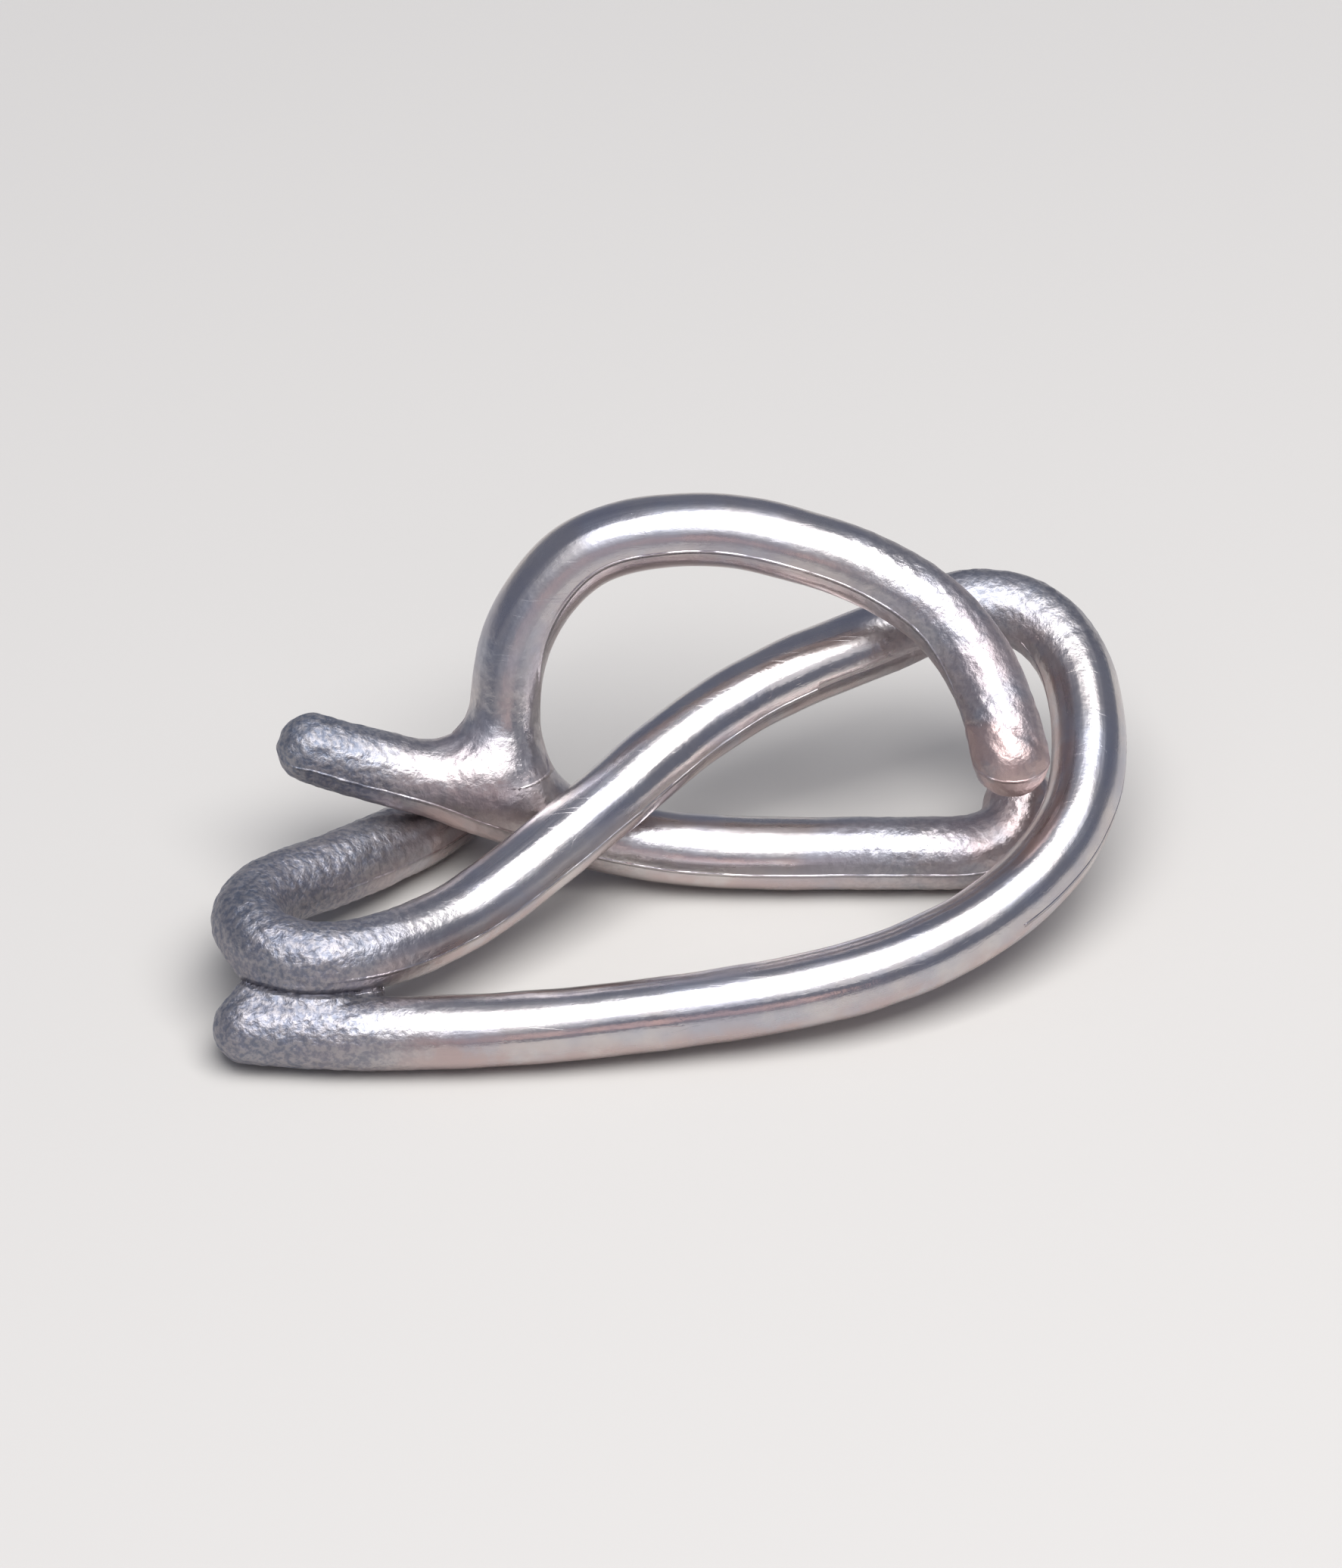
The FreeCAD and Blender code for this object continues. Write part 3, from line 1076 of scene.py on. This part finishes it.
@dataclass
class HookRing(Casting):
    """The open ring: a tail that runs on as the bar, and an arch that grows out of it in a filleted Y.

    The arch's rounded tip stands in front of the bar's turned-up end, a little more than a rod away.

    Attributes:
        bar: Centre line of the tail and the bar, as points on the flat.
        arch: Centre line of the arch, as points on the flat.
        arch_start: How far up its line the arch starts, so that the bar's back stays round, in mm.
        root_fillet: Width of the blend at the arch's root, in mm.
        root_reach: How far from the root the blend fades out, in mm.
        polish_offset: Middle of the dull tip, from the tip's end, in mm.
        polish_reach: How far from there the tip is dull, in mm.
        tail_swell: Where the tail is slimmer: position, reach and extra radius, in mm.
        leg_swell: Where the arch's leg is slimmer, in the same way.
        tip_swell: How the arch's tip is fuller: reach and extra radius, in mm.
        root: The arch's root, in mm.
        tip: The arch's tip, in mm.
    """

    bar: Outline = (
        (-24.3, 7.9, 1.6), (-19.8, 6.5, 1.3), (-14.6, 4.9, 0.8), (-9.5, 2.9, 0.3), (-5.4, 1.5, 0.0),
        (-0.7, 0.5, 0.0), (6.0, 0.0, 0.0), (12.2, 0.0, 0.0), (18.3, 0.0, 0.0), (21.4, 0.2, -0.4),
        (23.4, 1.2, -1.4), (24.0, 2.8, -2.6),
    )
    arch: Outline = (
        (-12.3, 3.9, 0.5), (-11.4, 6.6, 0.2), (-11.2, 10.3, 0.0), (-10.7, 14.1, 0.0), (-8.9, 18.1, 0.0),
        (-5.5, 21.4, 0.0), (-1.0, 22.7, 0.0), (3.9, 22.8, 0.1), (9.1, 21.8, 0.5), (14.2, 20.0, 1.2),
        (18.4, 17.4, 2.3), (21.1, 14.1, 3.8), (22.4, 11.2, 5.6), (23.1, 8.7, 7.0),
    )
    arch_start: float = 3.0
    root_fillet: float = 4.6
    root_reach: float = 11.0
    polish_offset: tuple[float, float, float] = (-1.3, -1.2, -1.2)
    polish_reach: float = 4.3
    tail_swell: tuple[float, float, float] = (0.0, 3.0, -0.10)
    leg_swell: tuple[float, float, float] = (7.5, 5.0, -0.14)
    tip_swell: tuple[float, float] = (2.6, 0.10)
    root: np.ndarray = field(init=False)
    tip: np.ndarray = field(init=False)

    def __post_init__(self) -> None:
        """Run one smooth line through each outline: a slim arch leg, a full tip and a slimmer tail."""
        bar_line = Spline(self.flat.place(self.bar))
        arch_line = Spline(self.flat.place(self.arch))
        self.root = arch_line.points[0]
        self.tip = arch_line.points[-1]
        arch_swells = (self.leg_swell, (arch_line.length, *self.tip_swell))
        self.rods = [
            Rod(bar_line, 0.0, bar_line.length, self.rod_radius, (self.tail_swell,)),
            Rod(arch_line, self.arch_start, arch_line.length, self.rod_radius, arch_swells),
        ]

    def near_root(self, reading: Reading) -> np.ndarray:
        """1 at the arch's root, fading to 0 away from it."""
        return bell(np.linalg.norm(reading.places - self.root, axis=1), self.root_reach, power=4)

    def past_polish(self, reading: Reading) -> np.ndarray:
        """Distance in mm from the slanted edge where the polished skin of the arch starts."""
        away = reading.places - self.tip - self.polish_offset
        return np.linalg.norm(away, axis=1) - self.polish_reach

    def near_tip(self, reading: Reading) -> np.ndarray:
        """1 at the arch's tip, falling sharply to 0 at the slanted edge of the polished skin."""
        return reading.on_second * falling(self.past_polish(reading), 0.1, softness=0.15)

    def fillet_width(self, reading: Reading) -> np.ndarray:
        """The blend is wide at the root and gone at the gap."""
        return self.root_fillet * self.near_root(reading)

    def crease(self, reading: Reading) -> np.ndarray:
        """A faint, uneven line round the edge of the polished skin at the tip.

        Args:
            reading: How the places lie about the rods.

        Returns:
            Its depth at each place, from 0 to 1.
        """
        depth, width, direction = 0.3, 0.16, np.array([2.1, 1.3, 1.7])
        uneven = 0.5 + 0.5 * np.sin(reading.places @ direction)
        return depth * uneven * reading.on_second * bell(self.past_polish(reading), width)

    def crinkle(self, reading: Reading) -> np.ndarray:
        """Most at the tail's end; some on the right of the arch and the bar, and round the root.

        Args:
            reading: How the places lie about the rods.

        Returns:
            How much is left at each place, from 0 to 1.
        """
        everywhere, tail_share, arch_share, bar_share, root_share = 0.06, 0.94, 0.5, 0.4, 0.25
        along = reading.places[:, 0]
        tail = falling(along, -19.5, softness=1.6)
        arch_side = reading.on_second * falling(-along, -14.5, softness=1.8)
        bar_side = ~reading.on_second * falling(-along, -12.0, softness=1.5)
        left = (
            everywhere
            + tail_share * tail
            + arch_share * arch_side
            + bar_share * bar_side
            + root_share * self.near_root(reading)
        )
        return np.clip(left, 0, 1)

    def warm_tint_and_shade(self, reading: Reading) -> np.ndarray:
        """Warm tint at the tip, the turned-up end and the root's left side, and painted warm shade on the
        undersides.

        Args:
            reading: How the places lie about the rods.

        Returns:
            How warm each place is, from 0 up.
        """
        everywhere, underside_share = self.warmth
        tip_share, turned_up_share, root_share, most = 1.5, 0.9, 0.6, 2.5
        turned_up = falling(-reading.places[:, 0], -19.5, softness=1.2)
        left_of_root = self.root - [2.0, 0.0, 0.0]
        from_root = np.linalg.norm(reading.places - left_of_root, axis=1)
        # The underside term is painted warm shade and reflection; the rest is warm tint
        warm = (
            everywhere
            + underside_share * self.underside(reading)
            + tip_share * self.near_tip(reading)
            + turned_up_share * turned_up
            + root_share * bell(from_root, reach=5.5, power=4)
        )
        return np.clip(warm, 0, most)


# ------------------------------------------------------------------------------------------ studio
@dataclass(frozen=True)
class SoftBox:
    """A rectangular soft light that faces the middle of the puzzle.

    Attributes:
        name: What it is for.
        bearing: Direction it stands in, in degrees from +X towards +Y.
        height_angle: How high it stands, in degrees above the bench.
        distance: How far from the puzzle, in metres.
        size: Width and height, in metres.
        watts: Its power.
        colour: Its colour, as sRGB hex.
    """

    name: str
    bearing: float
    height_angle: float
    distance: float
    size: tuple[float, float]
    watts: float
    colour: str = "#FFFFFF"

    def place(self, target: Vector) -> None:
        """Put the light in the scene, facing the target.

        Args:
            target: Where it faces, in metres.
        """
        light = bpy.data.lights.new(self.name, "AREA")
        light.shape = "RECTANGLE"
        light.size, light.size_y = self.size
        light.energy = self.watts
        light.color = linear_colour(self.colour)[:3]
        lamp = bpy.data.objects.new(self.name, light)
        bearing, rise = math.radians(self.bearing), math.radians(self.height_angle)
        direction = Vector((
            math.cos(bearing) * math.cos(rise), math.sin(bearing) * math.cos(rise), math.sin(rise),
        ))
        lamp.location = target + direction * self.distance
        lamp.rotation_euler = direction.to_track_quat("Z", "Y").to_euler()
        bpy.context.scene.collection.objects.link(lamp)


@dataclass
class Studio:
    """A pale bench, soft light and a long-lens camera looking down at the puzzle from its front.

    Attributes:
        target: The middle of the view, in mm.
        look_down: How far the camera looks down, in degrees.
        distance: From camera to target, in mm.
        view_height: How much of the target's plane the frame's height takes in, in mm.
        sensor: The sensor's height, in mm.
        clip: The nearest and furthest that the camera sees, in metres.
        bench_size: Side of the bench top, in metres.
        bench_colour: Colour of its paint, as sRGB hex.
        bench_roughness: How matt the paint is.
        sky_colour: Colour of the room, as sRGB hex.
        sky_strength: How bright the room is.
        lights: The soft lights.
    """

    target: tuple[float, float, float] = (0.1, 3.9, 8.0)
    look_down: float = 40.0
    distance: float = 900.0
    view_height: float = 106.8
    sensor: float = 36.0
    clip: tuple[float, float] = (0.01, 10.0)
    bench_size: float = 1.6
    bench_colour: str = "#BFBCB8"
    bench_roughness: float = 0.85
    sky_colour: str = "#777C8C"
    sky_strength: float = 1.0
    lights: tuple[SoftBox, ...] = (
        SoftBox("overhead_box", -62.0, 74.0, 0.55, (0.54, 0.40), 4.6),
        SoftBox("ceiling_panel", -88.0, 60.0, 0.90, (1.30, 0.85), 2.4),
        SoftBox("front_card", -85.0, 14.0, 0.90, (0.60, 0.20), 0.25, "#FFD2C2"),
    )

    def build(self) -> None:
        """Make the bench, the lights, the surroundings and the camera."""
        self.bench()
        self.surroundings()
        middle = Vector(self.target) * METRES_PER_MM
        for light in self.lights:
            light.place(middle)
        self.camera(middle)

    def bench(self) -> None:
        """A flat pale bench top at height 0."""
        half = self.bench_size / 2
        mesh = bpy.data.meshes.new("bench")
        corners = [(-half, -half, 0), (half, -half, 0), (half, half, 0), (-half, half, 0)]
        mesh.from_pydata(corners, [], [(0, 1, 2, 3)])
        bench = bpy.data.objects.new("bench", mesh)
        bpy.context.scene.collection.objects.link(bench)
        # Matt wall paint, rolled on a board: an even pale grey that mirrors nothing
        paint = bpy.data.materials.new("matt_bench_paint")
        paint.use_nodes = True
        shader = paint.node_tree.nodes["Principled BSDF"]
        shader.inputs["Base Color"].default_value = linear_colour(self.bench_colour)
        shader.inputs["Roughness"].default_value = self.bench_roughness
        mesh.materials.append(paint)

    def surroundings(self) -> None:
        """A dim cool room, which the metal mirrors at its edges."""
        world = bpy.data.worlds.new("dim_room")
        world.use_nodes = True
        room = world.node_tree.nodes["Background"]
        room.inputs["Color"].default_value = linear_colour(self.sky_colour)
        room.inputs["Strength"].default_value = self.sky_strength
        bpy.context.scene.world = world
        bpy.context.scene.view_settings.view_transform = "Standard"

    def camera(self, middle: Vector) -> None:
        """A camera whose lens is as long as the view's height needs at its distance.

        Args:
            middle: The middle of the view, in metres.
        """
        lens = bpy.data.cameras.new("long_lens")
        lens.sensor_fit = "VERTICAL"
        lens.sensor_height = self.sensor
        lens.sensor_width = self.sensor * IMAGE_WIDTH / IMAGE_HEIGHT
        lens.lens = self.sensor * self.distance / self.view_height
        lens.clip_start, lens.clip_end = self.clip
        camera = bpy.data.objects.new("camera", lens)
        look = math.radians(self.look_down)
        back = Vector((0.0, -math.cos(look), math.sin(look)))
        camera.location = middle + back * self.distance * METRES_PER_MM
        camera.rotation_euler = back.to_track_quat("Z", "Y").to_euler()
        bpy.context.scene.collection.objects.link(camera)
        bpy.context.scene.camera = camera


def main() -> None:
    """Build both castings and the studio, and log each piece's triangle count."""
    logging.basicConfig(level=logging.INFO, format="%(name)s: %(message)s")
    eye = EyeLoop(
        "eye_loop", "eye", "eye_metal", CastMetal("polished_nickel_plated_zinc_eye", Polish.BRIGHT),
        Flat(tilt=20.0, line_y=-15.6, height=2.5), cell=0.22,
    )
    ring = HookRing(
        "hook_ring", "ring", "ring_metal", CastMetal("polished_nickel_plated_zinc_ring", Polish.WORN),
        Flat(tilt=66.0, line_y=3.1, height=2.5), cell=0.18,
    )
    for casting in (eye, ring):
        piece = casting.build()
        triangles = 2 * len(piece.data.polygons)
        log.info("%s: %d triangles on body %s", piece.name, triangles, casting.body)
    Studio().build()


if __name__ == "__main__":
    main()
